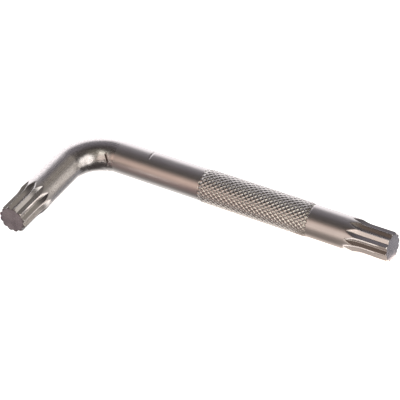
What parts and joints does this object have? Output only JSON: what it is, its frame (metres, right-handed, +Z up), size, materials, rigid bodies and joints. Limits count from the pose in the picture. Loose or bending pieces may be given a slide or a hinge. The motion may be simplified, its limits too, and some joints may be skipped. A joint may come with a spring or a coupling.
{
  "type": "spline key",
  "caption": "L-shaped key for multi-point socket screws: a bent round steel bar with a splined drive on both ends and a diamond knurl on the long arm.",
  "frame": {"origin": "under the middle of the key's outline, on the surface that it lies on", "axes": "+X along the long arm towards its tip, -Y along the short arm towards its tip, +Z up out of the plane of the bend"},
  "size_m": [0.1196, 0.0516, 0.0115],
  "materials": {
    "plain_bar": "satin nickel plate on a drawn bar",
    "knurl": "satin nickel plate on a rolled diamond knurl",
    "splined_ends": "satin nickel plate on cold-formed grooves, end faces sheared and ground"
  },
  "bodies": {
    "root": {"short_spline": "splined_ends", "short_shank": "plain_bar", "bend": "plain_bar", "long_shank": "plain_bar", "knurled_grip": "knurl", "front_shank": "plain_bar", "long_spline": "splined_ends"}
  },
  "joints": []
}
